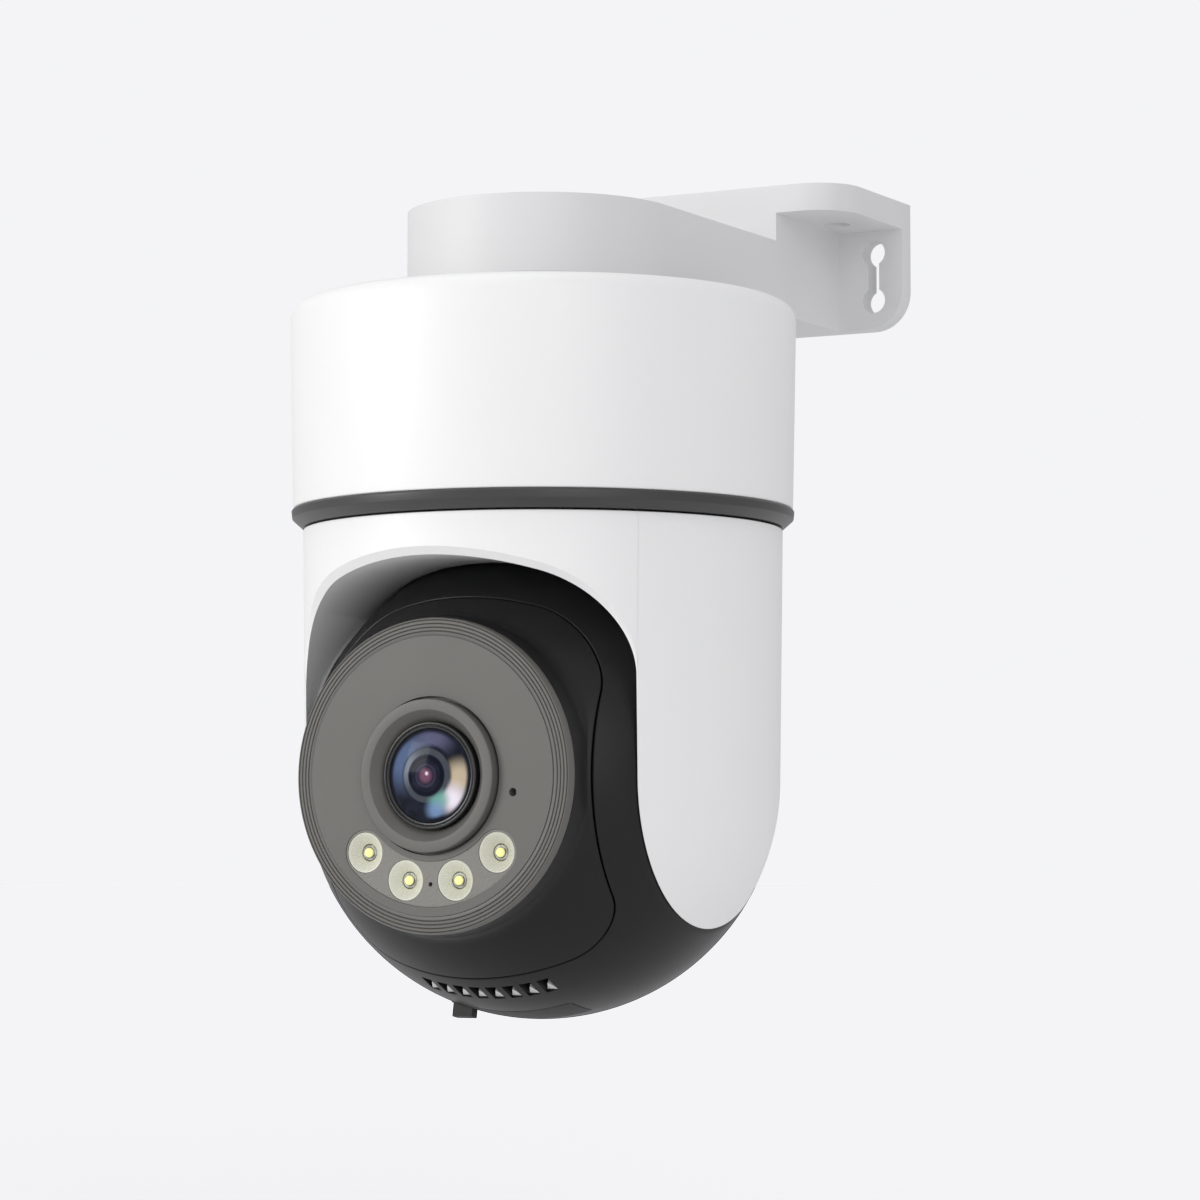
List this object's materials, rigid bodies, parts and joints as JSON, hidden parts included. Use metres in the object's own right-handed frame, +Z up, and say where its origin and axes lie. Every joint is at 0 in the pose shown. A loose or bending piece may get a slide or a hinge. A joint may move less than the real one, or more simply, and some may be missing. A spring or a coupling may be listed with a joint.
{
  "type": "ptz camera",
  "caption": "Compact pan-tilt camera: white drum and fork hang from a wall bracket, and a black ball head with a grey face, lens and LED window tilts between the cheeks.",
  "frame": {"origin": "centre of the four wall screw holes, on the wall face of the bracket", "axes": "+Z up, +Y into the wall, so the camera looks along -Y; pan turns about +Z, tilt about +X"},
  "size_m": [0.0934, 0.1263, 0.1588],
  "materials": {
    "white_shell": "satin white moulded polycarbonate",
    "bracket_plastic": "fine-grained light grey-white moulded plastic",
    "black_shell": "satin black moulded plastic",
    "trim_black": "satin black moulded plastic",
    "rubber": "soft matt black rubber",
    "face_plastic": "satin warm grey moulded plastic",
    "steel": "zinc-plated steel",
    "circuit_board": "green solder mask on fibreglass board",
    "nylon": "natural nylon",
    "lens_glass": "coated optical glass",
    "filter_glass": "coated filter glass",
    "lens_black": "satin black anodised lens parts",
    "pupil": "deep violet inner lens element",
    "led_phosphor": "yellow phosphor under clear silicone",
    "reflector": "cream-white reflector cups",
    "window": "stippled translucent grey window",
    "chip": "black moulded chip packages",
    "aluminium": "bare extruded aluminium",
    "button_white": "white moulded button"
  },
  "bodies": {
    "root": {"wall_bracket": "bracket_plastic", "bracket_screws": "steel", "drum_housing": "white_shell", "drum_base": "bracket_plastic", "drum_seal": "rubber", "base_screws": "steel", "trim_ring": "trim_black", "cable_gland": "rubber", "pan_bush": "nylon", "pan_motor": "steel", "pan_motor_screws": "steel", "power_board": "circuit_board", "power_parts": "chip", "board_screws": "steel"},
    "fork": {"fork_housing": "white_shell", "pan_hub": "nylon", "hub_screws": "steel", "pan_gear": "nylon", "hub_retainer": "steel", "cheek_cover_left": "white_shell", "cheek_cover_right": "white_shell", "cheek_screws": "steel", "tilt_spindle": "steel", "tilt_gear": "nylon", "axle_bush": "nylon"},
    "head": {"head_rear_shell": "black_shell", "head_front_cover": "black_shell", "head_seal": "rubber", "head_screws": "steel", "face_plate": "face_plastic", "lens_collar": "face_plastic", "lens_retaining_ring": "lens_black", "front_glass": "lens_glass", "lens_barrel": "lens_black", "lens_pupil": "pupil", "lens_holder": "lens_black", "image_sensor": "chip", "sensor_board": "circuit_board", "led_board": "circuit_board", "led_emitters": "led_phosphor", "led_reflectors": "reflector", "led_window": "window", "microphone": "steel", "light_sensor": "chip", "main_board": "circuit_board", "board_spacers": "steel", "heat_sink": "aluminium", "speaker": "chip", "card_socket": "steel", "wifi_antenna": "circuit_board", "tilt_motor": "steel", "tilt_motor_screws": "steel", "tilt_axle": "steel", "tilt_bush": "nylon"},
    "pan_pinion": {"pan_pinion": "nylon"},
    "tilt_pinion": {"tilt_pinion": "nylon"},
    "service_cap": {"service_cap": "rubber"},
    "reset_button": {"reset_button": "button_white"},
    "ir_filter": {"ir_filter": "filter_glass"}
  },
  "joints": [
    {"name": "pan", "type": "hinge", "parent": "root", "child": "fork", "pos_m": [0, -0.0796, -0.0514], "axis": [0, 0, 1], "range_deg": [-172, 172]},
    {"name": "tilt", "type": "hinge", "parent": "fork", "child": "head", "pos_m": [0, -0.0796, -0.1009], "axis": [1, 0, 0], "range_deg": [-10, 90]},
    {"name": "pan_pinion_spin", "type": "hinge", "parent": "root", "child": "pan_pinion", "pos_m": [0.0259, -0.0796, -0.0514], "axis": [0, 0, 1], "range_deg": [-740, 740]},
    {"name": "tilt_pinion_spin", "type": "hinge", "parent": "head", "child": "tilt_pinion", "pos_m": [0.024, -0.0628, -0.1009], "axis": [1, 0, 0], "range_deg": [-31, 271]},
    {"name": "cap_open", "type": "hinge", "parent": "head", "child": "service_cap", "pos_m": [0.01245, -0.08728, -0.14192], "axis": [0, -0.9829, 0.184], "range_deg": [0, 100]},
    {"name": "reset_press", "type": "slide", "parent": "head", "child": "reset_button", "axis": [0, 0.184, 0.9829], "range_m": [0, 0.0008], "stiffness_N_per_m": 400},
    {"name": "ir_shift", "type": "slide", "parent": "head", "child": "ir_filter", "axis": [1, 0, 0], "range_m": [0, 0.006]}
  ],
  "couplings": [
    {"joint": "pan_pinion_spin", "follows": "pan", "ratio": -4.2857},
    {"joint": "tilt_pinion_spin", "follows": "tilt", "ratio": 3}
  ]
}
